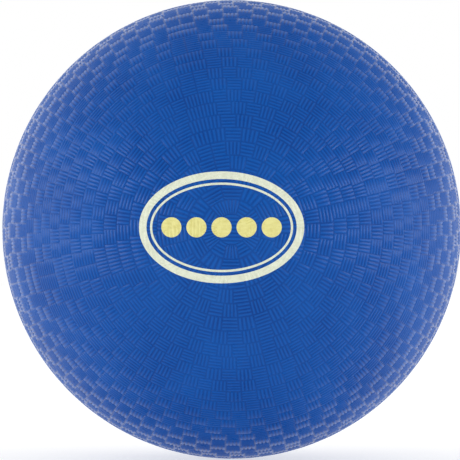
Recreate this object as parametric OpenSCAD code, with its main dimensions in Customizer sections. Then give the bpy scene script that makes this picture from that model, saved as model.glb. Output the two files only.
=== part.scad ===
// Inflatable rubber dodgeball: an air bladder with a self-sealing needle valve,
// wound with nylon thread and moulded into a rubber cover.
// Millimetres, +Z up, origin at the centre of the ball.
// The valve looks along +Y and the printed side along -Y. The two halves of the
// cover's mould met in the plane Y = 0.

/* [Ball] */
// Diameter of the inflated ball over the tops of its moulded texture
ball_d = 215.9; // [150:0.1:330]
// Wall of the outer rubber cover
cover_t = 1.2; // [0.8:0.05:2.5]
// Layer of nylon thread wound over the bladder
winding_t = 0.4; // [0.2:0.05:0.8]
// Wall of the air bladder
bladder_t = 0.6; // [0.4:0.05:1.2]
// Width of the lapped belt that joins the two halves of the bladder
lap_w = 10; // [6:0.5:20]
// Extra thickness of that belt, inside the bladder
lap_t = 0.4; // [0.2:0.05:0.8]

/* [Mould marks] */
// Width of the fine raised line where the two mould halves met
parting_w = 0.6; // [0.4:0.05:1.2]
// Height of that line above the cover
parting_h = 0.1; // [0.05:0.01:0.2]
// Width of the smooth land between the valve neck and its groove
land_w = 1.6; // [1:0.1:4]
// Width of the groove round the land
land_groove_w = 0.8; // [0.4:0.05:1.2]
// Depth of that groove
land_groove_depth = 0.3; // [0.1:0.05:0.5]

/* [Valve housing] */
// Wall of the neck round the head of the core
neck_wall = 1.5; // [1:0.1:3]
// How far the face of the neck lies below the cover
neck_recess = 0.2; // [0.1:0.05:0.5]
// Chamfer round both edges of the neck's face
neck_chamfer = 0.3; // [0.1:0.05:0.4]
// How far the flange reaches past the stem, against the bladder
flange_reach = 10; // [6:0.5:18]
// Thickness of the flange at its rim
flange_rim_t = 0.6; // [0.4:0.05:1.2]
// Thickness of the flange where it meets the stem
flange_root_t = 2.2; // [1.4:0.1:4]
// Wall of the stem round the bulb of the core
stem_wall = 2.2; // [1.4:0.1:4]
// Thickness of the stem's closed end under the core
stem_floor_t = 1.8; // [1:0.1:3]
// Chamfer round the inner end of the stem
stem_chamfer = 1.2; // [0.4:0.1:1.4]
// Diameter of the air vent through the closed end
vent_d = 2.4; // [1:0.1:3.2]

/* [Valve core] */
// How far the face of the core lies below the face of the neck
core_recess = 0.3; // [0.1:0.05:0.8]
// Diameter of the head that closes the neck
head_d = 6.4; // [5.6:0.1:9]
// Thickness of the head
head_t = 1.2; // [0.8:0.1:2]
// Chamfer round the face of the head
head_chamfer = 0.3; // [0.1:0.05:0.4]
// Diameter of the shank that the housing grips
shank_d = 4.6; // [4:0.1:5.2]
// Length of the shank
shank_len = 5; // [3:0.1:8]
// Diameter of the bulb that keeps the core in its seat
bulb_d = 6.6; // [5.8:0.1:8]
// Length of the bulb between its two tapers
bulb_len = 2.6; // [1.5:0.1:5]
// Length of the taper from the shank out to the bulb
shoulder_len = 0.9; // [0.5:0.1:2]
// Length of the taper from the bulb in to the tail
tail_taper_len = 1.5; // [0.8:0.1:3]
// Diameter of the tail, where the pierced slit closes by itself
tail_d = 3.6; // [3:0.1:4.6]
// Length of the tail
tail_len = 2.4; // [1:0.1:5]

/* [Needle channel] */
// Diameter of the moulded channel that grips an inflating needle
channel_d = 1.6; // [1.2:0.05:2]
// Depth of the channel below the lead-in
channel_len = 9; // [6:0.1:9.6]
// Diameter of the lead-in cone at the face of the core
mouth_d = 3; // [2.2:0.1:4]
// Depth of the lead-in cone
mouth_depth = 0.8; // [0.4:0.1:1.4]

/* [Hidden] */
$fn = 144;
// Overrun that carries a cut clear of the face it opens
cut = 1;

ball_r = ball_d / 2;
cover_in_r = ball_r - cover_t;
winding_in_r = cover_in_r - winding_t;
bladder_in_r = winding_in_r - bladder_t;

neck_r = head_d / 2 + neck_wall;
stem_r = bulb_d / 2 + stem_wall;
flange_r = stem_r + flange_reach;
land_r = neck_r + land_w + land_groove_w / 2;

// Heights along the valve axis, from the centre of the ball
neck_face_z = height_on(ball_r, neck_r) - neck_recess;
core_face_z = neck_face_z - core_recess;
core_len = head_t + shank_len + shoulder_len + bulb_len + tail_taper_len + tail_len;
core_end_z = core_face_z - core_len;
stem_end_z = core_end_z - stem_floor_t;
flange_rim_z = height_on(bladder_in_r, flange_r) - flange_rim_t;
flange_root_z = height_on(bladder_in_r, stem_r) - flange_root_t;

// Height at which a sphere about the origin stands at a distance from the axis
function height_on(sphere_r, axis_distance) = sqrt(sphere_r ^ 2 - axis_distance ^ 2);

// Radius of the bead that stands out by rise over a strip of the given width
function bead_r(width, rise) = (width ^ 2 / 4 + rise ^ 2) / (2 * rise);

// Half outline of the core and of its seat, from the axis at top_z down to the inner end
function core_outline(top_z) =
  let (
    head_z = core_face_z - head_t,
    shank_z = head_z - shank_len,
    bulb_top_z = shank_z - shoulder_len,
    bulb_bottom_z = bulb_top_z - bulb_len,
    tail_top_z = bulb_bottom_z - tail_taper_len
  )
  [
    [0, top_z],
    [head_d / 2, top_z],
    [head_d / 2, head_z],
    [shank_d / 2, head_z],
    [shank_d / 2, shank_z],
    [bulb_d / 2, bulb_top_z],
    [bulb_d / 2, bulb_bottom_z],
    [tail_d / 2, tail_top_z],
    [tail_d / 2, core_end_z],
    [0, core_end_z]
  ];

// Turns a piece built along +Z so that its outer end looks along +Y
module on_valve_axis() {
  rotate([-90, 0, 0])
    children();
}

// A hollow sphere
module shell(outer_r, inner_r) {
  difference() {
    sphere(r = outer_r);
    sphere(r = inner_r);
  }
}

// The round hole that the neck of the valve fills in every layer of the wall
module neck_hole() {
  translate([0, 0, bladder_in_r - flange_root_t])
    cylinder(r = neck_r, h = cover_t + winding_t + bladder_t + flange_root_t + cut);
}

// The fine bead that the split of the mould leaves round the ball
module parting_line() {
  bead = bead_r(parting_w, parting_h);
  rotate_extrude()
    translate([ball_r + parting_h - bead, 0])
      circle(r = bead);
}

// A V groove round the land, square to the surface of the ball
module land_groove() {
  tilt = asin(land_r / ball_r);
  cut_half_w = land_groove_w / 2 * (1 + cut / land_groove_depth);
  rotate_extrude()
    rotate(-tilt)
      translate([0, ball_r])
        polygon([[-cut_half_w, cut], [0, -land_groove_depth], [cut_half_w, cut]]);
}

module cover() {
  color("royalblue")
    on_valve_axis()
      difference() {
        union() {
          sphere(r = ball_r);
          parting_line();
        }
        sphere(r = cover_in_r);
        neck_hole();
        land_groove();
      }
}

module nylon_winding() {
  color("ivory")
    on_valve_axis()
      difference() {
        shell(cover_in_r, winding_in_r);
        neck_hole();
      }
}

// The lapped belt stands inside the wall, half on each side of the seam
module lap_belt() {
  intersection() {
    shell(bladder_in_r + bladder_t / 2, bladder_in_r - lap_t);
    cylinder(r = ball_r, h = lap_w, center = true);
  }
}

module bladder() {
  color("dimgray")
    on_valve_axis()
      difference() {
        union() {
          shell(winding_in_r, bladder_in_r);
          lap_belt();
        }
        neck_hole();
      }
}

// The flange follows the inside of the bladder and thins out to its rim
module flange() {
  intersection() {
    sphere(r = bladder_in_r);
    rotate_extrude()
      polygon([
        [0, ball_r],
        [flange_r, ball_r],
        [flange_r, flange_rim_z],
        [stem_r, flange_root_z],
        [0, flange_root_z]
      ]);
  }
}

module neck() {
  rotate_extrude()
    polygon([
      [0, flange_root_z],
      [neck_r, flange_root_z],
      [neck_r, neck_face_z - neck_chamfer],
      [neck_r - neck_chamfer, neck_face_z],
      [0, neck_face_z],
    ]);
}

module stem() {
  translate([0, 0, stem_end_z + stem_chamfer])
    cylinder(r = stem_r, h = flange_root_z + flange_root_t / 2 - stem_end_z - stem_chamfer);
  translate([0, 0, stem_end_z])
    cylinder(r1 = stem_r - stem_chamfer, r2 = stem_r, h = stem_chamfer);
}

// The core fills its seat, which has the same outline and is open at the face of the neck
module core_blank() {
  rotate_extrude()
    polygon(core_outline(core_face_z));
}

// The edge that comes off round a face: everything past a cone that runs inwards to the face
module head_edge() {
  rotate_extrude()
    polygon([
      [head_d / 2, core_face_z - head_chamfer],
      [head_d / 2 + cut, core_face_z - head_chamfer],
      [head_d / 2 + cut, core_face_z + cut],
      [head_d / 2 - head_chamfer - cut, core_face_z + cut],
    ]);
}

module core_seat() {
  rotate_extrude()
    polygon(core_outline(neck_face_z + cut));
}

// The chamfer that opens the seat at the face of the neck
module seat_mouth() {
  rotate_extrude()
    polygon([
      [0, neck_face_z - neck_chamfer],
      [head_d / 2, neck_face_z - neck_chamfer],
      [head_d / 2 + neck_chamfer + cut, neck_face_z + cut],
      [0, neck_face_z + cut],
    ]);
}

module vent() {
  translate([0, 0, stem_end_z - cut])
    cylinder(d = vent_d, h = stem_floor_t + 2 * cut);
}

module valve_housing() {
  color("darkslateblue")
    on_valve_axis()
      difference() {
        union() {
          neck();
          flange();
          stem();
        }
        core_seat();
        seat_mouth();
        vent();
      }
}

// The channel is blind: below it the tail is only pierced, and closes by itself
module needle_channel() {
  mouth_z = core_face_z - mouth_depth;
  rotate_extrude()
    polygon([
      [0, mouth_z - channel_len],
      [channel_d / 2, mouth_z - channel_len],
      [channel_d / 2, mouth_z],
      [mouth_d / 2, core_face_z],
      [mouth_d / 2, core_face_z + cut],
      [0, core_face_z + cut]
    ]);
}

module valve_core() {
  color("black")
    on_valve_axis()
      difference() {
        core_blank();
        head_edge();
        needle_channel();
      }
}

cover();
nylon_winding();
bladder();
valve_housing();
valve_core();
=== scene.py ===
"""Looks of an inflatable rubber dodgeball, built around its packed construction.

Metres, +Z up, origin at the centre of the ball. The print looks along -Y, the needle valve along +Y.
"""

import logging
import math
from collections.abc import Callable
from dataclasses import dataclass, field, fields
from enum import Enum
from fractions import Fraction

import bpy
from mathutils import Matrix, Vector


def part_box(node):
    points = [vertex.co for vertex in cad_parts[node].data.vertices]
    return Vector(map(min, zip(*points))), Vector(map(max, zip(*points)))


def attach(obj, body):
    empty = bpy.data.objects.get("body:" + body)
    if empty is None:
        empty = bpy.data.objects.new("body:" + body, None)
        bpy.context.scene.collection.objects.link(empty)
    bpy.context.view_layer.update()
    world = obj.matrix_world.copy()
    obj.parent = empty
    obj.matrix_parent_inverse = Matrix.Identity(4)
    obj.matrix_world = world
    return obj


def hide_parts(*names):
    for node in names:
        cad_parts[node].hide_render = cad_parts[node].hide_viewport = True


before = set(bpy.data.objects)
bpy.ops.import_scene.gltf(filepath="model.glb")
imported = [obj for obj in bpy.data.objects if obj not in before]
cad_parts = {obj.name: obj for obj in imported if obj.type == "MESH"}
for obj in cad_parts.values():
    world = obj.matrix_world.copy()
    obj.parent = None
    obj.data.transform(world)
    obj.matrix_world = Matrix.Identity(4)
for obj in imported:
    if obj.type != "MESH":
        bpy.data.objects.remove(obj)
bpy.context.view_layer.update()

LOG = logging.getLogger("dodgeball")
Piece = bpy.types.Object
Socket = bpy.types.NodeSocket
Material = bpy.types.Material

MM = 0.001
BODY = "root"
# The map that a piece's materials are baked to
BAKE_MAP = "OFBake"
# Where faces meet at more than this an edge shows: in the valleys between ribs, but not on their ridges
RIB_CREASE = math.radians(38)
# How far down the valve's neck its radius is taken, past the chamfer of its face
NECK_DEPTH = 1 * MM
# From one band to the next of a wave texture whose scale is 1
WAVE_PITCH = math.pi / 10
WHITE = (1.0, 1.0, 1.0, 1.0)


class Half(Enum):
    """The two halves of the cover's mould, by the way along Y in which each one's pole looks."""

    PRINT = -1
    VALVE = 1


class RibRun(Enum):
    """The way in which the ribs of one moulded block run."""

    TO_POLE = "to the pole"
    ROUND_POLE = "round the pole"


class Cut(Enum):
    """What happens to the part of a film that lies inside an outline."""

    KEEP = "INTERSECT"
    REMOVE = "DIFFERENCE"


class Sum(Enum):
    """The sums that materials do."""

    ADD = "ADD"
    SUBTRACT = "SUBTRACT"
    TIMES = "MULTIPLY"
    LARGER = "MAXIMUM"
    UNSIGNED = "ABSOLUTE"


class MixOf(Enum):
    """What a Mix node blends: its data type, the numbers of its two inputs, and its output's."""

    NUMBERS = ("FLOAT", 2, 3, 0)
    COLOURS = ("RGBA", 6, 7, 2)


class Rays(Enum):
    """The kinds of ray that the studio tells apart, by the outputs of the Light Path node."""

    SEEN = ("Is Camera Ray",)
    MIRRORED = ("Is Glossy Ray", "Is Transmission Ray")


def srgb(*levels: int) -> tuple:
    """Turns a display colour into the linear one that shaders take, by the curve of its standard.

    Args:
        levels: Its red, green and blue, from 0 to 255.

    Returns:
        Linear red, green and blue, and an alpha of 1.
    """
    shares = [level / 255 for level in levels]
    linear = [share / 12.92 if share <= 0.04045 else ((share + 0.055) / 1.055) ** 2.4 for share in shares]
    return (*linear, 1.0)


def deselect_all() -> None:
    """Leaves nothing selected, so that an operator acts only on what is selected next."""
    if bpy.context.object and bpy.context.object.mode != "OBJECT":
        bpy.ops.object.mode_set(mode="OBJECT")
    bpy.ops.object.select_all(action="DESELECT")


def select_only(piece: Piece) -> None:
    """Makes one object the selected and active one.

    Args:
        piece: The object.
    """
    deselect_all()
    piece.select_set(True)
    bpy.context.view_layer.objects.active = piece


def edit_faces(piece: Piece, wanted: Callable[[bpy.types.MeshPolygon], bool]) -> None:
    """Opens a piece in edit mode with some of its faces selected.

    Args:
        piece: The piece.
        wanted: Says of a face whether it is one of them.
    """
    select_only(piece)
    for face in piece.data.polygons:
        face.select = wanted(face)
    bpy.context.tool_settings.mesh_select_mode = (False, False, True)
    bpy.ops.object.mode_set(mode="EDIT")


def named(name: str) -> Piece:
    """Names the object that an operator has just added, with its mesh.

    Args:
        name: The name for both.

    Returns:
        The object.
    """
    piece = bpy.context.object
    piece.name = name
    piece.data.name = name
    return piece


def apply_place(piece: Piece) -> None:
    """Puts a piece's place, turn and size into its mesh, so that its object sits at the origin."""
    select_only(piece)
    bpy.ops.object.transform_apply(location=True, rotation=True, scale=True)


@dataclass(frozen=True)
class Grain:
    """A noise all over a surface: how fine and how busy it is, and the range of it that shows."""

    per_metre: float
    detail: float = 2.0
    roughness: float = 0.5
    span: tuple = (0.3, 0.7)


class NodeSheet:
    """A material's node tree, with short ways to add and join its nodes."""

    def __init__(self, name: str) -> None:
        """Makes an empty material with a surface shader.

        Args:
            name: The material's name.
        """
        self.material = bpy.data.materials.new(name)
        self.material.use_nodes = True
        self.tree = self.material.node_tree
        self.shader = self.tree.nodes["Principled BSDF"]

    @classmethod
    def of_tree(cls, tree: bpy.types.NodeTree) -> "NodeSheet":
        """Wraps a node tree that isn't a material's, such as the world's.

        Args:
            tree: The tree.

        Returns:
            A sheet without a material and a surface shader.
        """
        sheet = cls.__new__(cls)
        sheet.tree = tree
        return sheet

    def feed(self, value: object, target: Socket) -> None:
        """Joins a socket to an input, or sets the input to a plain value.

        Args:
            value: The socket or the value.
            target: The input.
        """
        if isinstance(value, Socket):
            self.tree.links.new(value, target)
        else:
            target.default_value = value

    def add(self, kind: str, **settings: object) -> bpy.types.Node:
        """Adds one node.

        Args:
            kind: The node's type.
            settings: Its own properties, or what its inputs take, with underscores for spaces.

        Returns:
            The new node.
        """
        node = self.tree.nodes.new(kind)
        for key, value in settings.items():
            name = key.replace("_", " ")
            if name in node.inputs:
                self.feed(value, node.inputs[name])
            else:
                setattr(node, key, value)
        return node

    def place(self) -> Socket:
        """The point on the object, in metres."""
        return self.add("ShaderNodeTexCoord").outputs["Object"]

    def noise(self, grain: Grain) -> Socket:
        """Adds noise all over the object.

        Args:
            grain: What it is like.

        Returns:
            Its value, from 0 to 1.
        """
        node = self.add("ShaderNodeTexNoise", Scale=grain.per_metre, Vector=self.place())
        node.inputs["Detail"].default_value = grain.detail
        node.inputs["Roughness"].default_value = grain.roughness
        return node.outputs["Fac"]

    def spread(self, value: Socket, span: tuple, ends: tuple = (0.0, 1.0)) -> Socket:
        """Spreads a range of a value over another one, and holds it at the ends.

        Args:
            value: The value.
            span: Where its range starts and ends.
            ends: What it becomes there.

        Returns:
            The new value.
        """
        node = self.add("ShaderNodeMapRange", Value=value)
        for name, number in zip(("From Min", "From Max", "To Min", "To Max"), (*span, *ends)):
            node.inputs[name].default_value = number
        return node.outputs["Result"]

    def mottle(self, grain: Grain, ends: tuple = (0.0, 1.0)) -> Socket:
        """The range of a noise that shows, spread over another one."""
        return self.spread(self.noise(grain), grain.span, ends)

    def math(self, operation: Sum, first: object, *others: object) -> Socket:
        """Does a sum with a row of values, from left to right.

        Args:
            operation: The sum.
            first: A socket or a number.
            others: More of them, or none where the sum needs only one.

        Returns:
            The result.
        """
        for other in others or (0.0,):
            node = self.add("ShaderNodeMath", operation=operation.value)
            self.feed(first, node.inputs[0])
            self.feed(other, node.inputs[1])
            first = node.outputs["Value"]
        return first

    def blend(self, kind: MixOf, share: Socket, first: object, second: object) -> Socket:
        """Blends two colours or numbers.

        Args:
            kind: Which of the two they are.
            share: How much of the second there is.
            first: A socket or a plain value.
            second: A socket or a plain value.

        Returns:
            The blend.
        """
        data_type, at_none, at_all, blended = kind.value
        node = self.add("ShaderNodeMix", data_type=data_type, Factor=share)
        self.feed(first, node.inputs[at_none])
        self.feed(second, node.inputs[at_all])
        return node.outputs[blended]

    def bump(self, height: Socket, strength: float, distance: float) -> None:
        """Raises the surface of the material.

        Args:
            height: How high each point is, from 0 to 1.
            strength: How much of that shows.
            distance: The height in metres at 1.
        """
        node = self.add("ShaderNodeBump", Height=height, Strength=strength, Distance=distance)
        self.set(Normal=node.outputs["Normal"])

    def set(self, **inputs: object) -> None:
        """Gives inputs of the surface shader a socket or a plain value each."""
        for key, value in inputs.items():
            self.feed(value, self.shader.inputs[key.replace("_", " ")])


@dataclass(frozen=True)
class Surface:
    """How a surface catches the light: its uneven gloss and its fine pores."""

    gloss: Grain
    pores: Grain
    pore_strength: float
    pore_h: float

    def finish(self, sheet: NodeSheet, colour: Socket, roughness: tuple) -> Material:
        """Completes a material.

        Args:
            sheet: Its nodes.
            colour: Its colour.
            roughness: How rough it is where it is glossiest and where it is dullest.

        Returns:
            The finished material.
        """
        sheet.set(Base_Color=colour, Roughness=sheet.mottle(self.gloss, roughness))
        sheet.bump(sheet.noise(self.pores), self.pore_strength, self.pore_h)
        return sheet.material


@dataclass(frozen=True)
class WeaveRubber:
    """Blue moulded rubber: clean and a little glossy, with painted shade that darkens its valleys, and a
    faint flow mottle.
    """

    top_r: float
    valley_r: float
    crest: tuple = srgb(8, 86, 174)
    # Painted shade: the darker colour that the rubber is painted down in the valleys between ribs
    valley: tuple = srgb(1, 61, 140)
    mottle: tuple = srgb(14, 91, 178)
    flow: Grain = Grain(38, detail=4, roughness=0.6, span=(0.35, 0.75))
    most_mottle: float = 0.55
    roughness: tuple = (0.26, 0.32)
    specular: float = 0.2
    surface: Surface = Surface(Grain(260, detail=3), Grain(1400), pore_strength=0.1, pore_h=0.03 * MM)

    def material(self) -> Material:
        """Makes the rubber, with painted shade that darkens it towards its valleys, by its distance from
        the ball's centre.

        Returns:
            The finished material.
        """
        sheet = NodeSheet("cover_blue_rubber")
        centre = sheet.add("ShaderNodeVectorMath", operation="LENGTH", Vector=sheet.place())
        height = sheet.spread(centre.outputs["Value"], (self.valley_r, self.top_r))
        # Painted shade: the colour runs from the crest colour down to the darker valley colour
        ground = sheet.blend(MixOf.COLOURS, height, self.valley, self.crest)
        flow = sheet.mottle(self.flow, (0.0, self.most_mottle))
        sheet.set(Specular_IOR_Level=self.specular)
        colour = sheet.blend(MixOf.COLOURS, flow, ground, self.mottle)
        return self.surface.finish(sheet, colour, self.roughness)


@dataclass(frozen=True)
class PrintInk:
    """Opaque ink laid over the ribs in one pass, thinner where it ran off them."""

    name: str
    body: tuple
    thin: tuple
    patches: Grain = Grain(420, detail=3, roughness=0.65, span=(0.42, 0.72))
    roughness: tuple = (0.42, 0.55)
    surface: Surface = Surface(Grain(300), Grain(1800), pore_strength=0.2, pore_h=0.05 * MM)

    def material(self) -> Material:
        """Makes the ink.

        Returns:
            The finished material.
        """
        sheet = NodeSheet(self.name)
        colour = sheet.blend(MixOf.COLOURS, sheet.mottle(self.patches), self.body, self.thin)
        return self.surface.finish(sheet, colour, self.roughness)


@dataclass(frozen=True)
class PlainRubber:
    """Black or grey moulded rubber with a fine skin and a trace of powder."""

    name: str
    body: tuple
    powder: tuple
    powdered: float
    least_rough: float
    rough_range: float = 0.12
    dust: Grain = Grain(340, detail=5, roughness=0.7, span=(0.45, 0.8))
    surface: Surface = Surface(Grain(700), Grain(2600, detail=3), pore_strength=0.25, pore_h=0.08 * MM)

    def material(self) -> Material:
        """Makes the rubber.

        Returns:
            The finished material.
        """
        sheet = NodeSheet(self.name)
        dust = sheet.mottle(self.dust, (0.0, self.powdered))
        colour = sheet.blend(MixOf.COLOURS, dust, self.body, self.powder)
        roughness = (self.least_rough, self.least_rough + self.rough_range)
        return self.surface.finish(sheet, colour, roughness)


@dataclass(frozen=True)
class WoundNylon:
    """Nylon thread wound one way after another and set in rubber cement."""

    thread: tuple = srgb(226, 220, 203)
    gap: tuple = srgb(96, 88, 78)
    thread_pitch: float = 2.2 * MM
    thread_h: float = 0.3 * MM
    thread_strength: float = 0.8
    waver: float = 2.0
    waver_scale: float = 40
    ways: tuple = ((0, 0, 0), (0.9, 0.4, 0), (0.5, 1.3, 0.6), (1.6, 0.3, 1.1))
    under_share: float = 0.93
    roughness: float = 0.55

    def material(self) -> Material:
        """Makes the winding, where the highest thread shows at each point.

        Returns:
            The finished material.
        """
        sheet = NodeSheet("winding_nylon_thread")
        top = None
        for way in self.ways:
            turned = sheet.add("ShaderNodeMapping", Rotation=way, Vector=sheet.place())
            wave = sheet.add("ShaderNodeTexWave", Vector=turned.outputs["Vector"])
            wave.inputs["Scale"].default_value = WAVE_PITCH / self.thread_pitch
            wave.inputs["Distortion"].default_value = self.waver
            wave.inputs["Detail Scale"].default_value = self.waver_scale
            height = wave.outputs["Fac"]
            if top is not None:
                height = sheet.math(Sum.LARGER, top, sheet.math(Sum.TIMES, height, self.under_share))
            top = height
        colour = sheet.blend(MixOf.COLOURS, top, self.gap, self.thread)
        sheet.set(Base_Color=colour, Roughness=self.roughness)
        sheet.bump(top, self.thread_strength, self.thread_h)
        return sheet.material


@dataclass
class Weave:
    """The layout of the cover's moulded blocks: rings of them round the pole of each mould half.

    Turns round a pole are counted in sectors from the first seam, and steps from the pole are one
    rib wide. The blocks of a plain sector and of the others alternate the opposite way.
    """

    ball_r: float
    rows: int = 25
    sectors: int = 4
    blocks_at_rim: int = 25
    least_blocks: int = 3
    ribs: int = 4
    first_midline: float = math.radians(31)
    plain_sectors: tuple = (0,)
    parting_margin: float = 0.5 * MM

    @property
    def steps(self) -> int:
        """Steps from the pole to the parting line."""
        return self.rows * self.ribs

    def polar(self, step: float) -> float:
        """Finds how far from the pole a step lies.

        Args:
            step: The step.

        Returns:
            The angle.
        """
        first = math.pi / 2 / self.rows
        last = math.pi / 2 - self.parting_margin / self.ball_r
        return first + (last - first) * (step - self.ribs) / (self.steps - self.ribs)

    def round_angle(self, turn: Fraction) -> float:
        """The angle round the pole at a turn."""
        return self.first_midline + (float(turn) - 0.5) * 2 * math.pi / self.sectors

    def blocks_in(self, row: int) -> int:
        """How many blocks a sector has in a row, an odd number that keeps them all about as wide."""
        ideal = self.blocks_at_rim * math.sin(self.polar((row + 0.5) * self.ribs))
        return max(self.least_blocks, 2 * round((ideal - 1) / 2) + 1)

    def run_of(self, row: int, sector: int, block: int) -> RibRun:
        """Finds the way that a block's ribs run: alternately, counted from the middle of its sector.

        Args:
            row: The block's row, from the pole.
            sector: The sector that it lies in.
            block: Its number in that sector's part of the row.

        Returns:
            The way.
        """
        from_middle = block - self.blocks_in(row) // 2
        start = 0 if sector in self.plain_sectors else 1
        return RibRun.TO_POLE if (from_middle + row + start) % 2 else RibRun.ROUND_POLE


@dataclass(frozen=True)
class Patch:
    """The ground of one rib: its mould half, its row, its steps from the pole and its turns round it."""

    half: Half
    row: int
    first: int
    last: int
    start: Fraction
    end: Fraction


@dataclass
class SkinMesh:
    """Points and faces of the cover as they are laid, each shared point once."""

    points: list = field(default_factory=list)
    faces: list = field(default_factory=list)
    shared: dict = field(default_factory=dict)

    def point(self, place: tuple) -> int:
        """Adds a point that no other face asks for again."""
        self.points.append(place)
        return len(self.points) - 1

    def common(self, key: tuple, place: tuple) -> int:
        """Finds a shared point, and adds it the first time.

        Args:
            key: What it is kept under.
            place: Where it lies.

        Returns:
            Its number.
        """
        if key not in self.shared:
            self.shared[key] = self.point(place)
        return self.shared[key]

    def band(self, first: list, second: list, closed: bool = True) -> None:
        """Joins two rows of as many points with a band of faces.

        Args:
            first: One row.
            second: The other row.
            closed: True if each row is a ring.
        """
        for index in range(len(first) if closed else len(first) - 1):
            after = (index + 1) % len(first)
            self.faces.append([first[index], first[after], second[after], second[index]])


@dataclass
class Cover:
    """The moulded rubber skin: ribs outside, smooth inside, with the hole for the valve's neck."""

    ball_r: float
    inner_r: float
    hole_r: float
    bead_h: float
    relief: float = 0.33 * MM
    top_drop: float = 0.03 * MM
    flank_share: float = 0.46
    hole_round: float = 0.2 * MM
    hole_bend_share: float = 0.3
    land_rim_share: float = 0.2
    groove_w: float = 0.45 * MM
    bead_rise_share: float = 0.35
    bead_w: float = 0.6 * MM
    bead_bend_share: float = 0.5
    inner_rings: int = 36
    pole_rim_parts: int = 18
    finest_turn: int = 100
    round_block_axis: Fraction = Fraction(7, 6)
    chord_shares: tuple = (1.0, 0.6, 0.2, -0.2, -0.6, -1.0)
    outer_disc: float = 0.29
    inner_disc: float = 0.11
    disc_margin: float = 0.002
    lining_t: float = 0.3 * MM

    def __post_init__(self) -> None:
        """Works out the layout and the two levels that the ribs stand between."""
        self.weave = Weave(self.ball_r)
        self.top_r = self.ball_r - self.top_drop
        self.valley_r = self.top_r - self.relief
        self.mesh = SkinMesh()
        self.rim_turns = self._ring_turns()

    def _ring_turns(self) -> dict:
        """Finds, for each ring between two rows, every place round it where a point of either row lies.

        Returns:
            Sorted turns by the ring's step.
        """
        weave = self.weave
        rings = {step * weave.ribs: set() for step in range(1, weave.rows + 1)}
        for row in range(1, weave.rows):
            count = weave.blocks_in(row)
            for sector in range(weave.sectors):
                for block in range(count):
                    parts = weave.ribs if weave.run_of(row, sector, block) is RibRun.TO_POLE else 1
                    for part in range(parts):
                        turn = sector + (block + Fraction(part, parts)) / count
                        rings[row * weave.ribs].add(turn)
                        rings[(row + 1) * weave.ribs].add(turn)
        parts = self.pole_rim_parts
        rings[weave.ribs] |= {Fraction(part, parts) for part in range(parts * weave.sectors)}
        for edge in self._round_block_edges():
            rings[weave.ribs] |= {
                (self.round_block_axis + side * edge) % weave.sectors for side in (1, -1)
            }
        return {step: sorted(turns) for step, turns in rings.items()}

    def _round_block_edges(self) -> list:
        """Finds where the sides of the round block's straight ribs end on its rim.

        Returns:
            Turns from the block's axis.
        """
        right_angle = Fraction(self.weave.sectors, 4)
        shares = [
            math.acos(rib / self.weave.ribs) / (math.pi / 2) for rib in range(self.weave.ribs, -1, -1)
        ]
        halves = [
            Fraction(share).limit_denominator(self.finest_turn) * right_angle for share in shares
        ]
        return halves + [2 * right_angle - edge for edge in halves[-2::-1]]

    def _place(self, half: Half, polar: float, around: float, radius: float) -> tuple:
        """Finds a point of the skin.

        Args:
            half: The mould half.
            polar: The angle from its pole.
            around: The angle round it.
            radius: The distance from the ball's centre.

        Returns:
            The point.
        """
        across = radius * math.sin(polar)
        return (
            across * math.cos(around),
            half.value * radius * math.cos(polar),
            -across * math.sin(around),
        )

    def _disc_place(self, half: Half, along: float, across: float, radius: float) -> tuple:
        """A point near a pole, by two angles from it along and across the round block's axis."""
        around = self.weave.round_angle(self.round_block_axis) + math.atan2(across, along)
        return self._place(half, math.hypot(along, across), around, radius)

    def _valley(self, half: Half, step: int, turn: Fraction) -> int:
        """Lays the shared point at the foot of the ribs at a place.

        Args:
            half: The mould half.
            step: The place's step.
            turn: Its turn.

        Returns:
            The point's number.
        """
        turn = turn % self.weave.sectors
        angles = self.weave.polar(step), self.weave.round_angle(turn)
        return self.mesh.common((half, step, turn), self._place(half, *angles, self.valley_r))

    def _ring(self, turns: list, half: Half, polar: float, radius: float) -> list:
        """Lays a ring of points that no other face shares.

        Args:
            turns: One turn for each point.
            half: The mould half.
            polar: The ring's angle from the pole.
            radius: Its distance from the ball's centre.

        Returns:
            The points' numbers.
        """
        around = [self.weave.round_angle(turn) for turn in turns]
        return [self.mesh.point(self._place(half, polar, angle, radius)) for angle in around]

    def _ring_side(self, patch: Patch, step: int) -> list:
        """Lays the foot of the side of a rib that runs round the pole at a step."""
        turns = [turn for turn in self.rim_turns.get(step, ()) if patch.start < turn < patch.end]
        return [self._valley(patch.half, step, turn) for turn in (patch.start, *turns, patch.end)]

    def _split_side(self, row: int, turn: Fraction) -> bool:
        """Finds whether a block with ribs round the pole meets a side of a row, and so splits it.

        Args:
            row: The row.
            turn: The side's turn.

        Returns:
            True if one does.
        """
        weave = self.weave
        count = weave.blocks_in(row)
        place = (turn % weave.sectors) * count
        edge = int(place)
        if place != edge:
            return False
        neighbours = (divmod(block % (count * weave.sectors), count) for block in (edge - 1, edge))
        return any(weave.run_of(row, sector, block) is RibRun.ROUND_POLE for sector, block in neighbours)

    def _pole_side(self, patch: Patch, turn: Fraction) -> list:
        """Lays the foot of the side of a rib that runs to the pole at a turn.

        Args:
            patch: The rib's ground.
            turn: The turn.

        Returns:
            The points' numbers.
        """
        steps = [patch.first, patch.last]
        if patch.last - patch.first > 1 and self._split_side(patch.row, turn):
            steps = range(patch.first, patch.last + 1)
        return [self._valley(patch.half, step, turn) for step in steps]

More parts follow.
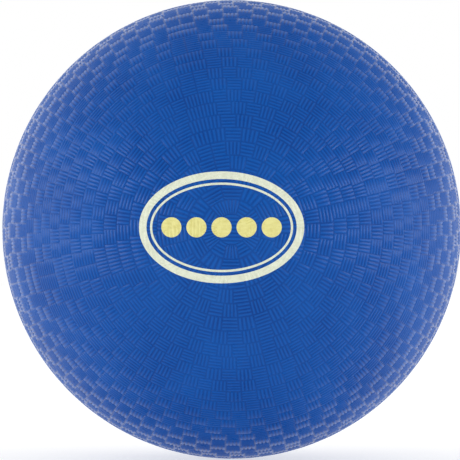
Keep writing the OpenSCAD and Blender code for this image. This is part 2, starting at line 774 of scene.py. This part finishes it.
    def _rib(self, patch: Patch) -> None:
        """Lays one rib: a long low hip roof.

        Args:
            patch: Its ground.
        """
        sides = [
            self._ring_side(patch, patch.first),
            self._pole_side(patch, patch.end),
            self._ring_side(patch, patch.last)[::-1],
            self._pole_side(patch, patch.start)[::-1],
        ]
        low, high = self.weave.polar(patch.first), self.weave.polar(patch.last)
        left, right = self.weave.round_angle(patch.start), self.weave.round_angle(patch.end)
        slope = self.flank_share * min(high - low, (right - left) * math.sin(high))
        corners = []
        for polar in (low + slope, high - slope):
            width = (right - left) * math.sin(polar)
            turn_in = min(slope, self.flank_share * width) / math.sin(polar)
            for around in (left + turn_in, right - turn_in):
                corners.append(self.mesh.point(self._place(patch.half, polar, around, self.top_r)))
        near_left, near_right, far_left, far_right = corners
        crown = [near_left, near_right, far_right, far_left]
        self.mesh.faces.append(crown)
        for index, side in enumerate(sides):
            self.mesh.faces.append([*side, crown[(index + 1) % len(crown)], crown[index]])

    def _block(self, half: Half, row: int, sector: int, block: int) -> None:
        """Lays the ribs of one block.

        Args:
            half: The mould half.
            row: The block's row.
            sector: The sector that it lies in.
            block: Its number in that sector's part of the row.
        """
        weave = self.weave
        count = weave.blocks_in(row)
        first, last = row * weave.ribs, (row + 1) * weave.ribs
        start, end = sector + Fraction(block, count), sector + Fraction(block + 1, count)
        for rib in range(weave.ribs):
            if weave.run_of(row, sector, block) is RibRun.TO_POLE:
                part = (end - start) / weave.ribs
                left = start + rib * part
                patch = Patch(half, row, first, last, left, left + part)
            else:
                patch = Patch(half, row, first + rib, first + rib + 1, start, end)
            self._rib(patch)

    def _rim_arc(self, half: Half, start: Fraction, end: Fraction) -> list:
        """Finds the points of the first row's inner rim from one turn to another.

        Args:
            half: The mould half.
            start: The first turn.
            end: The last turn.

        Returns:
            The points' numbers.
        """
        sectors = self.weave.sectors
        step = self.weave.ribs
        laps = sorted(turn + lap for lap in (-sectors, 0, sectors) for turn in self.rim_turns[step])
        return [self._valley(half, step, turn) for turn in laps if start <= turn <= end]

    def _chord(self, half: Half, edge: Fraction, reach: float) -> list:
        """Lays the foot of a straight rib's side, across the round block.

        Args:
            half: The mould half.
            edge: Where the side ends on the rim, in turns from the block's axis.
            reach: The rim's angle from the pole.

        Returns:
            The points' numbers, of which the block's first and last side have only one.
        """
        axis = self.round_block_axis
        ends = [self._valley(half, self.weave.ribs, axis + side * edge) for side in (1, -1)]
        if ends[0] == ends[1]:
            return ends[:1]
        angle = float(edge) / self.weave.sectors * 2 * math.pi
        foot = []
        for share in self.chord_shares[1:-1]:
            along, across = reach * math.cos(angle), reach * math.sin(angle) * share
            key = (half, "chord", edge, share)
            foot.append(self.mesh.common(key, self._disc_place(half, along, across, self.valley_r)))
        return [ends[0], *foot, ends[1]]

    def _printed_pole(self) -> None:
        """Closes the printed side's pole with one round block of straight ribs."""
        half, axis = Half.PRINT, self.round_block_axis
        reach = self.weave.polar(self.weave.ribs)
        slope = self.flank_share * reach / self.weave.ribs
        edges = self._round_block_edges()
        for start, end in zip(edges, edges[1:]):
            crowns = []
            for edge, inward in ((start, -slope), (end, slope)):
                along = reach * math.cos(float(edge) / self.weave.sectors * 2 * math.pi) + inward
                across = max(math.sqrt(reach**2 - along**2) - slope, slope)
                crown = [
                    self.mesh.point(self._disc_place(half, along, across * share, self.top_r))
                    for share in self.chord_shares
                ]
                crowns.append(crown)
                foot = self._chord(half, edge, reach)
                if len(foot) == 1:
                    self.mesh.faces.append([*foot, *crown])
                else:
                    self.mesh.band(foot, crown, closed=False)
            near, far = crowns
            self.mesh.band(near, far, closed=False)
            self.mesh.faces.append([*self._rim_arc(half, axis + start, axis + end), far[0], near[0]])
            self.mesh.faces.append([*self._rim_arc(half, axis - end, axis - start), near[-1], far[-1]])

    def _valve_side(self) -> None:
        """Lays the smooth land round the valve, the hole through the skin and its smooth lining."""
        step = self.weave.ribs
        turns = self.rim_turns[step]
        ring = [self._valley(Half.VALVE, step, turn) for turn in turns]
        edge = self.weave.polar(step) - self.groove_w / self.ball_r
        hole = math.asin(self.hole_r / self.ball_r)
        rim = hole + self.hole_round / self.ball_r
        bend = self.hole_bend_share
        inner_end = math.asin(self.hole_r / self.inner_r)
        levels = [
            (edge, self.top_r),
            (edge - (edge - rim) * self.land_rim_share, self.top_r),
            (rim, self.top_r),
            (hole + (rim - hole) * bend, self.top_r - self.hole_round * bend),
            (hole, self.top_r - self.hole_round),
            (inner_end, self.inner_r),
        ]
        for index in range(1, self.inner_rings):
            polar = inner_end + (math.pi - inner_end) * index / self.inner_rings
            levels.append((polar, self.inner_r))
        for polar, radius in levels:
            inner = self._ring(turns, Half.VALVE, polar, radius)
            self.mesh.band(ring, inner)
            ring = inner
        self.mesh.faces.append(ring)

    def _parting_line(self) -> None:
        """Joins the two halves with the fine bead that the mould leaves."""
        last = self.weave.steps
        turns = self.rim_turns[last]
        rise = self.bead_rise_share * self.groove_w
        bend = self.bead_bend_share
        levels = [
            (math.pi / 2 - (self.weave.parting_margin - rise) / self.ball_r, self.top_r),
            (
                math.pi / 2 - bend * self.bead_w / 2 / self.ball_r,
                self.ball_r + self.bead_h * (1 - bend**2),
            ),
        ]
        sides = [
            [
                [self._valley(half, last, turn) for turn in turns],
                *(self._ring(turns, half, polar, radius) for polar, radius in levels),
            ]
            for half in (Half.PRINT, Half.VALVE)
        ]
        crest = self._ring(turns, Half.PRINT, math.pi / 2, self.ball_r + self.bead_h)
        for side in sides:
            for first, second in zip(side, [*side[1:], crest]):
                self.mesh.band(first, second)

    def _map_for_baking(self, piece: Piece) -> None:
        """Gives the skin a map of four flat discs, one for each side of each half.

        Args:
            piece: The skin.
        """
        data = piece.data
        layer = data.uv_layers.new(name=BAKE_MAP)
        for face in data.polygons:
            inside = face.center.length < self.inner_r + self.lining_t
            side = -1 if face.center.y < 0 else 1
            size = self.inner_disc if inside else self.outer_disc
            corner = size + self.disc_margin if side < 0 else 1 - size - self.disc_margin
            centre = (corner, 1 - corner) if inside else (corner, corner)
            for loop in face.loop_indices:
                place = data.vertices[data.loops[loop].vertex_index].co
                polar = math.acos(max(-1.0, min(1.0, side * place.y / place.length)))
                deep = 0 if inside else max(0.0, self.valley_r - place.length)
                reach = size * (polar - deep / self.ball_r) / (math.pi / 2)
                around = math.atan2(place.z, place.x)
                layer.uv[loop].vector = (
                    centre[0] + reach * math.cos(around),
                    centre[1] + reach * math.sin(around),
                )

    def build(self) -> Piece:
        """Makes the skin's mesh.

        Returns:
            The finished piece, without its material.
        """
        weave = self.weave
        for half in Half:
            for row in range(1, weave.rows):
                for sector in range(weave.sectors):
                    for block in range(weave.blocks_in(row)):
                        self._block(half, row, sector, block)
        self._parting_line()
        self._printed_pole()
        self._valve_side()
        data = bpy.data.meshes.new("cover_skin")
        data.from_pydata(self.mesh.points, [], self.mesh.faces)
        piece = bpy.data.objects.new("cover_skin", data)
        bpy.context.scene.collection.objects.link(piece)
        select_only(piece)
        bpy.ops.object.mode_set(mode="EDIT")
        bpy.ops.mesh.select_all(action="SELECT")
        bpy.ops.mesh.normals_make_consistent(inside=False)
        bpy.ops.object.mode_set(mode="OBJECT")
        bpy.ops.object.shade_smooth_by_angle(angle=RIB_CREASE)
        self._map_for_baking(piece)
        return piece

    def dress(self, piece: Piece) -> None:
        """Gives the skin its rubber, hangs it on the ball's body and hides the CAD cover in its place.

        Args:
            piece: The skin.
        """
        piece.data.materials.append(WeaveRubber(self.top_r, self.valley_r).material())
        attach(piece, BODY)
        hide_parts("cover")


@dataclass
class BallPrint:
    """An oval ring, a thin line inside it and a row of dots, printed over the ribs in two inks."""

    skin: Piece
    ball_r: float
    middle: tuple = (-4.5 * MM, 0.9 * MM)
    ring_size: tuple = (74 * MM, 50 * MM)
    ring_w: float = 3.4 * MM
    line_gap: float = 1.6 * MM
    line_w: float = 1.0 * MM
    dot_d: float = 9 * MM
    dots: int = 5
    dot_pitch: float = 11.2 * MM
    over: float = 0.025 * MM
    under: float = 0.03 * MM
    least_outward: float = 0.05
    spare: float = 8 * MM
    cutter_sides: int = 96
    cutter_h: float = 24 * MM
    cream: PrintInk = PrintInk("print_cream_ink", srgb(228, 234, 212), srgb(213, 218, 196))
    yellow: PrintInk = PrintInk("print_yellow_ink", srgb(233, 227, 148), srgb(220, 212, 128))

    def _flatten_ground(self) -> None:
        """Splits the skin's faces under the print into triangles, so that film and skin bend alike."""
        half_w, half_h = (size / 2 + self.spare for size in self.ring_size)

        def is_ground(face: bpy.types.MeshPolygon) -> bool:
            """True for a face in the widened oval on the printed side."""
            x, z = face.center.x - self.middle[0], face.center.z - self.middle[1]
            return face.center.y < 0 and math.hypot(x / half_w, z / half_h) < 1

        edit_faces(self.skin, is_ground)
        bpy.ops.mesh.quads_convert_to_tris()
        bpy.ops.object.mode_set(mode="OBJECT")

    def _cutter(self, size: tuple, places: list) -> Piece:
        """Makes prisms of one oval outline that run through the skin along Y.

        Args:
            size: The outline's width and height.
            places: The middle of each prism, along X and Z.

        Returns:
            All the prisms in one object.
        """
        prisms = []
        for x, z in places:
            deselect_all()
            bpy.ops.mesh.primitive_cylinder_add(
                vertices=self.cutter_sides,
                radius=1 / 2,
                depth=self.cutter_h,
                location=(x, -self.ball_r, z),
                rotation=(math.pi / 2, 0, 0),
            )
            prism = named("print_cutter")
            prism.scale = (*size, 1)
            prisms.append(prism)
        for prism in prisms:
            prism.select_set(True)
        if len(prisms) > 1:
            bpy.ops.object.join()
        cutter = bpy.context.object
        apply_place(cutter)
        return cutter

    def _cut(self, plug: Piece, cut: Cut, size: tuple, places: list) -> None:
        """Cuts a plug of skin with prisms of one outline.

        Args:
            plug: The plug.
            cut: Whether what lies inside the prisms is kept.
            size: The outline's width and height.
            places: The middle of each prism, along X and Z.
        """
        cutter = self._cutter(size, places)
        select_only(plug)
        trim = plug.modifiers.new("cut", "BOOLEAN")
        trim.operation = cut.value
        trim.object = cutter
        trim.solver = "EXACT"
        bpy.ops.object.modifier_apply(modifier="cut")
        bpy.data.objects.remove(cutter)

    def _copy(self, piece: Piece, name: str) -> Piece:
        """Copies a piece with its mesh.

        Args:
            piece: The piece.
            name: The copy's name.

        Returns:
            The copy.
        """
        select_only(piece)
        bpy.ops.object.duplicate()
        return named(name)

    def _peel(self, plug: Piece) -> None:
        """Keeps only the ribbed face of a plug of skin, and makes a thin closed film of ink of it.

        Args:
            plug: The plug.
        """
        edit_faces(plug, lambda face: face.normal.y > -self.least_outward)
        bpy.ops.mesh.delete(type="FACE")
        bpy.ops.object.mode_set(mode="OBJECT")
        film = plug.modifiers.new("film", "SOLIDIFY")
        film.thickness = self.over + self.under
        film.offset = 2 * self.over / (self.over + self.under) - 1
        bpy.ops.object.modifier_apply(modifier="film")
        bpy.ops.object.shade_smooth_by_angle(angle=RIB_CREASE)

    def _oval(self, step: float) -> tuple:
        """The outline that lies a step inside the outermost one."""
        return tuple(length - 2 * step for length in self.ring_size)

    def build(self) -> list:
        """Prints all of it.

        Returns:
            The finished pieces.
        """
        x, z = self.middle
        row = [(x + (dot - (self.dots - 1) / 2) * self.dot_pitch, z) for dot in range(self.dots)]
        line = self.ring_w + self.line_gap
        cream = self.cream.material()
        yellow = self.yellow.material()
        self._flatten_ground()
        ring = self._copy(self.skin, "print_ring")
        ring.data.materials.clear()
        ring.data.uv_layers.remove(ring.data.uv_layers[BAKE_MAP])
        self._cut(ring, Cut.KEEP, self._oval(0), [self.middle])
        inner_line = self._copy(ring, "print_line")
        dots = self._copy(ring, "print_dots")
        self._cut(ring, Cut.REMOVE, self._oval(self.ring_w), [self.middle])
        self._cut(inner_line, Cut.KEEP, self._oval(line), [self.middle])
        self._cut(inner_line, Cut.REMOVE, self._oval(line + self.line_w), [self.middle])
        self._cut(dots, Cut.KEEP, (self.dot_d, self.dot_d), row)
        for film, ink in ((ring, cream), (inner_line, cream), (dots, yellow)):
            self._peel(film)
            film.data.materials.clear()
            film.data.materials.append(ink)
            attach(film, BODY)
        return [ring, inner_line, dots]


@dataclass
class InnerPieces:
    """The winding, the bladder and the valve, which keep their CAD meshes and need only a finish."""

    nylon_winding: WoundNylon = WoundNylon()
    bladder: PlainRubber = PlainRubber(
        "bladder_black_rubber", srgb(30, 30, 32), srgb(150, 148, 142), powdered=0.5, least_rough=0.6
    )
    valve_housing: PlainRubber = PlainRubber(
        "valve_black_rubber", srgb(27, 27, 29), srgb(70, 70, 72), powdered=0.3, least_rough=0.42
    )
    valve_core: PlainRubber = PlainRubber(
        "core_grey_rubber", srgb(58, 58, 60), srgb(110, 110, 112), powdered=0.35, least_rough=0.5
    )

    def dress(self) -> None:
        """Gives each node its finish, and reports it."""
        for node in fields(self):
            material = getattr(self, node.name).material()
            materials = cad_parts[node.name].data.materials
            if materials:
                materials[0] = material
            else:
                materials.append(material)
            LOG.info("%s: %s", node.name, material.name)


@dataclass
class Studio:
    """A pale floor, a soft box on the left and on the right, and a world that lights them evenly.

    In gloss the world is a room: a white sweep behind the ball and pale walls beside it, dim above,
    in front and in the upper right corner. Each span there is a range of one part of a ray's way.
    """

    floor_z: float
    floor_size: float = 12.0
    floor_colour: tuple = (0.4, 0.4, 0.4, 1.0)
    floor_roughness: float = 0.9
    floor_specular: float = 0.1
    floor_glow: float = 0.66
    floor_shine: float = 0.85
    floor_dims: tuple = (-0.16, -0.04)
    floor_slant: tuple = (0.08, 0.45)
    end_fill: float = 0.75
    mid_fill: float = 1.15
    side_radiance: float = 1.8
    side_size: float = 1.0
    side_place: tuple = (1.5, -0.5, 0.0)
    backdrop: float = 1.0
    front_shine: float = 0.12
    front_span: tuple = (-0.2, 0.35)
    above_shine: float = 0.12
    above_span: tuple = (0.6, 0.98)
    behind_shine: float = 1.0
    corner_shine: float = 0.6
    corner_span: tuple = (0.0, 0.25)
    wall_shine: float = 0.5
    panel_shine: float = 2.3
    panel_span: tuple = (-0.2, 0.3)
    wall_start_span: tuple = (-0.9, -0.65)
    wall_height_span: tuple = (0.2, 0.5)

    def _is_any(self, sheet: NodeSheet, rays: Rays) -> Socket:
        """1 for a ray of any of these kinds, and otherwise 0."""
        path = sheet.add("ShaderNodeLightPath")
        return sheet.math(Sum.LARGER, *(path.outputs[name] for name in rays.value))

    def _way(self, sheet: NodeSheet) -> tuple:
        """How far right, back and up a ray goes as it leaves the studio."""
        generated = sheet.add("ShaderNodeTexCoord").outputs["Generated"]
        return tuple(sheet.add("ShaderNodeSeparateXYZ", Vector=generated).outputs)

    def _room_in_gloss(self, sheet: NodeSheet) -> Socket:
        """Works out how bright the room is in gloss.

        Args:
            sheet: The world's nodes.

        Returns:
            The brightness, where 1 is white.
        """
        right, back, up = self._way(sheet)
        slope = sheet.spread(up, self.above_span, (self.behind_shine, self.above_shine))
        # The floor hides the lower left corner, where this product is as large
        up_right = sheet.math(Sum.TIMES, right, up)
        corner = sheet.spread(up_right, self.corner_span, (1.0, self.corner_shine))
        behind = sheet.spread(back, self.front_span)
        sweep = sheet.math(Sum.TIMES, slope, corner, behind)
        before = sheet.math(Sum.SUBTRACT, 1.0, behind)
        front = sheet.math(Sum.TIMES, before, self.front_shine)
        level = sheet.spread(sheet.math(Sum.UNSIGNED, up), self.wall_height_span, (1.0, 0.0))
        panel = sheet.spread(back, self.panel_span, (self.panel_shine, self.wall_shine))
        walls = sheet.math(Sum.TIMES, sheet.spread(back, self.wall_start_span), panel, level)
        return sheet.math(Sum.ADD, sweep, front, walls)

    def _fill(self, sheet: NodeSheet) -> Socket:
        """The soft light on all that isn't gloss: most of it comes from above and from the sides."""
        off_middle = sheet.math(Sum.UNSIGNED, self._way(sheet)[1])
        return sheet.spread(off_middle, (0.0, 1.0), (self.mid_fill, self.end_fill))

    def _world(self) -> None:
        """White to look at, the room in gloss, and an even light on everything else."""
        world = bpy.data.worlds.new("studio_world")
        bpy.context.scene.world = world
        world.use_nodes = True
        world.cycles.sampling_method = "NONE"
        sheet = NodeSheet.of_tree(world.node_tree)
        light = world.node_tree.nodes["Background"]
        light.inputs["Color"].default_value = WHITE
        mirrored = self._is_any(sheet, Rays.MIRRORED)
        lit = sheet.blend(MixOf.NUMBERS, mirrored, self._fill(sheet), self._room_in_gloss(sheet))
        shown = sheet.blend(MixOf.NUMBERS, self._is_any(sheet, Rays.SEEN), lit, self.backdrop)
        sheet.feed(shown, light.inputs["Strength"])

    def _floor(self) -> None:
        """Lays a plain white light table under the ball, which keeps its soft shadow.

        In gloss it is dim in front of the ball and where it is met steeply, and pale elsewhere.
        """
        deselect_all()
        bpy.ops.mesh.primitive_plane_add(size=self.floor_size, location=(0, 0, self.floor_z))
        floor = named("studio_floor")
        apply_place(floor)
        sheet = NodeSheet("studio_light_table")
        sheet.set(Base_Color=self.floor_colour, Roughness=self.floor_roughness)
        sheet.set(Specular_IOR_Level=self.floor_specular)
        place = sheet.add("ShaderNodeSeparateXYZ", Vector=sheet.place())
        near = sheet.spread(place.outputs["Y"], self.floor_dims, (0.0, self.floor_shine))
        slant = sheet.spread(sheet.add("ShaderNodeLayerWeight").outputs["Facing"], self.floor_slant)
        shine = sheet.math(Sum.TIMES, near, slant)
        mirrored = self._is_any(sheet, Rays.MIRRORED)
        glow = sheet.blend(MixOf.NUMBERS, mirrored, self.floor_glow, shine)
        sheet.set(Emission_Color=WHITE, Emission_Strength=glow)
        floor.data.materials.append(sheet.material)

    def _soft_box(self, name: str, place: tuple) -> None:
        """Adds a square lamp that looks at the ball, of a brightness where 1 is white.

        Args:
            name: The lamp's name.
            place: Where it hangs.
        """
        lamp = bpy.data.lights.new(name, "AREA")
        lamp.shape = "SQUARE"
        lamp.size = self.side_size
        lamp.energy = math.pi * self.side_size**2 * self.side_radiance
        box = bpy.data.objects.new(name, lamp)
        box.location = place
        box.rotation_euler = (-Vector(place)).to_track_quat("-Z", "Y").to_euler()
        bpy.context.scene.collection.objects.link(box)

    def build(self) -> None:
        """Sets the stage."""
        self._world()
        self._floor()
        x, y, z = self.side_place
        self._soft_box("left_softbox", (-x, y, z))
        self._soft_box("right_softbox", (x, y, z))
        bpy.context.scene.view_settings.view_transform = "Standard"


@dataclass
class PhotoCamera:
    """The photograph's view: level with the ball, square to its print, through a long lens."""

    ball_r: float
    distance: float = 2.0
    picture_px: float = 460
    ball_r_px: float = 229.4
    ball_x_px: float = 231.6
    ball_y_px: float = 229.35
    sensor: float = 36.0

    def build(self) -> None:
        """Makes the camera and sets it as the scene's own."""
        data = bpy.data.cameras.new("photo_camera")
        edge = self.ball_r / math.sqrt(self.distance**2 - self.ball_r**2)
        data.sensor_width = self.sensor
        data.lens = self.sensor / self.picture_px * self.ball_r_px / edge
        middle = self.picture_px / 2
        data.shift_x = (middle - self.ball_x_px) / self.picture_px
        data.shift_y = (self.ball_y_px - middle) / self.picture_px
        camera = bpy.data.objects.new("photo_camera", data)
        camera.location = (0, -self.distance, 0)
        camera.rotation_euler = (math.pi / 2, 0, 0)
        bpy.context.scene.collection.objects.link(camera)
        bpy.context.scene.camera = camera


def farthest_from_axis(node: str, above_y: float) -> float:
    """Measures how far a node reaches from the valve's axis near its outer end.

    Args:
        node: The CAD node's name.
        above_y: Only what lies beyond this Y counts.

    Returns:
        The greatest distance, in metres.
    """
    places = [vertex.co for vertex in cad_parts[node].data.vertices]
    return max(math.hypot(place.x, place.z) for place in places if place.y > above_y)


def main() -> None:
    """Builds the scene piece by piece, and reports each one."""
    logging.basicConfig(level=logging.INFO, format="%(message)s")
    low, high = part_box("cover")
    ball_r = -low.y
    neck_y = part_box("valve_housing")[1].y
    PhotoCamera(ball_r).build()
    Studio(floor_z=low.z).build()
    cover = Cover(
        ball_r=ball_r,
        inner_r=-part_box("nylon_winding")[0].y,
        hole_r=farthest_from_axis("valve_housing", neck_y - NECK_DEPTH),
        bead_h=high.x - ball_r,
    )
    skin = cover.build()
    cover.dress(skin)
    LOG.info("cover_skin: %d faces", len(skin.data.polygons))
    for film in BallPrint(skin, ball_r).build():
        LOG.info("%s: %d faces", film.name, len(film.data.polygons))
    InnerPieces().dress()


if __name__ == "__main__":
    main()
